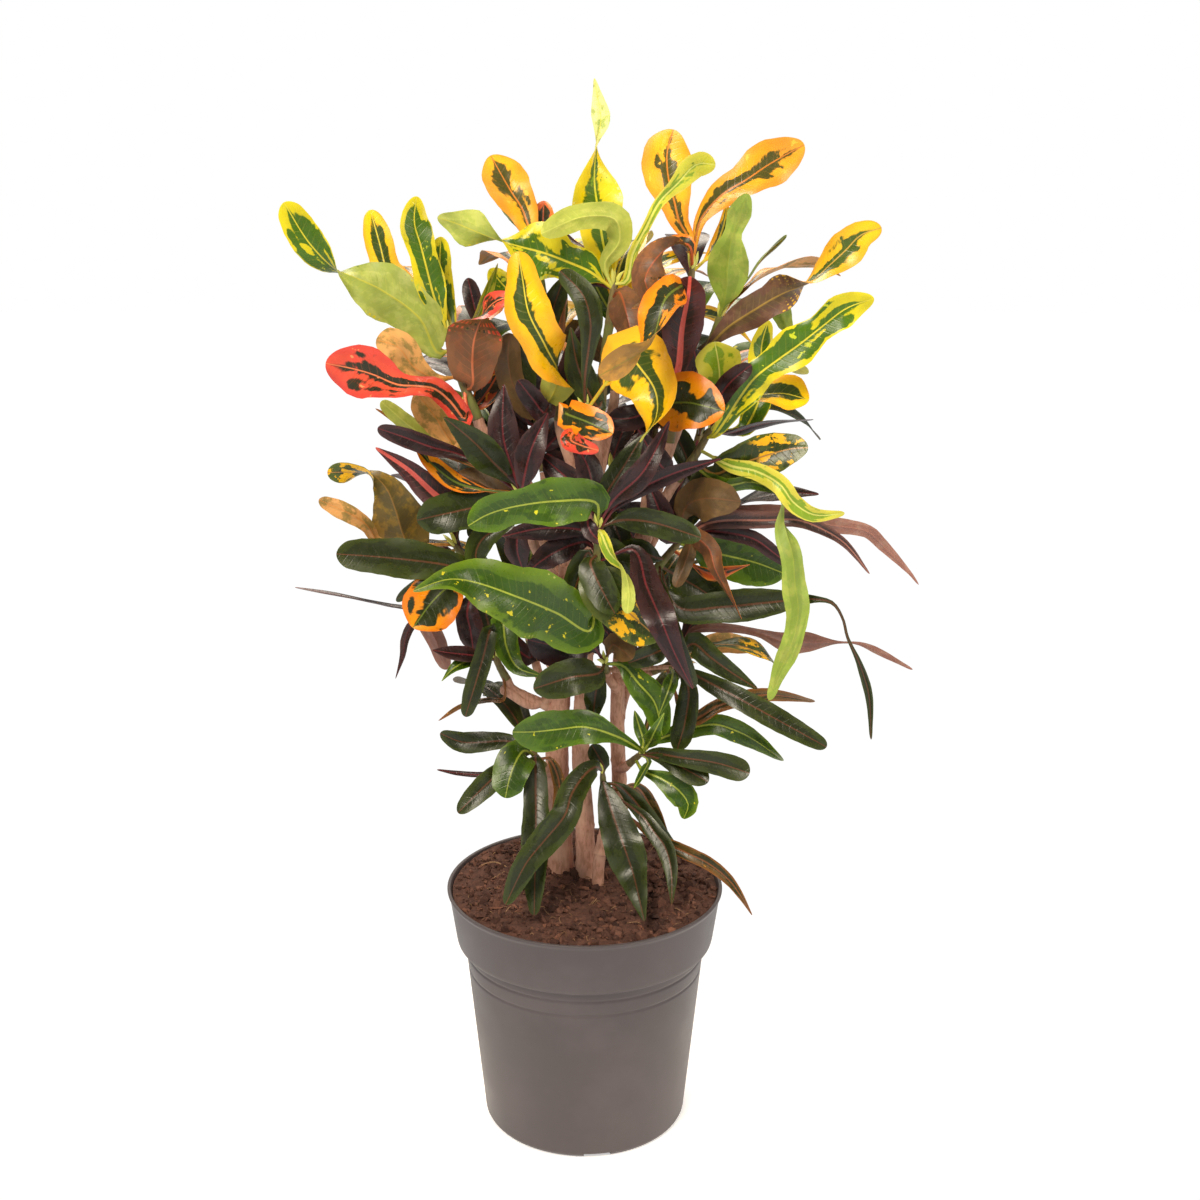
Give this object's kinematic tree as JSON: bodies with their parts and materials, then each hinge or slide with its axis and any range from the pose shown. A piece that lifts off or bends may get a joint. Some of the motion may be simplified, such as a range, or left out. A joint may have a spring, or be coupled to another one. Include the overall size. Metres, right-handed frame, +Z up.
{
  "type": "potted croton",
  "caption": "Upright potted croton with woody stems, tufts of long waved leaves in yellow, orange, green and dark maroon, in a round anthracite nursery pot filled with peat.",
  "frame": {"origin": "centre of the pot's underside, on the surface that it stands on", "axes": "+Z up along the pot's axis, -Y towards the side that the picture shows, +X to its right"},
  "size_m": [0.4588, 0.3152, 0.7783],
  "materials": {
    "pot": "satin anthracite polypropylene, faint vertical flow marks",
    "soil": null,
    "bark": "dull brown bark with pale lenticels and leaf scars",
    "leaf_bright": null,
    "leaf_green": null,
    "leaf_dark": null
  },
  "bodies": {
    "root": {"pot": "pot", "soil": "soil", "trunk_left": "bark", "trunk_middle": "bark", "trunk_right": "bark", "trunk_front": "bark", "shoot_top": "leaf_bright", "shoot_top_right": "leaf_bright", "shoot_right_high": "leaf_bright", "shoot_left_high": "leaf_bright", "shoot_top_left": "leaf_bright", "shoot_centre": "leaf_bright", "shoot_right_mid": "leaf_bright", "shoot_left_mid": "leaf_bright", "shoot_back_top": "leaf_bright", "shoot_back_left": "leaf_bright", "shoot_back_right": "leaf_bright", "shoot_left_low": "leaf_dark", "shoot_right_low": "leaf_dark", "shoot_inner_left": "leaf_dark", "shoot_inner_right": "leaf_dark", "shoot_inner_middle": "leaf_dark", "shoot_left_knob": "leaf_dark", "shoot_back_low_left": "leaf_dark", "shoot_back_low_right": "leaf_dark", "shoot_front_mid": "leaf_green", "shoot_stub_mid": "leaf_green", "shoot_right_under": "leaf_green", "shoot_low_right": "leaf_green", "shoot_low_left": "leaf_green", "shoot_low_front": "leaf_green", "shoot_back_middle": "leaf_green", "shoot_back_low_middle": "leaf_green"}
  },
  "joints": []
}
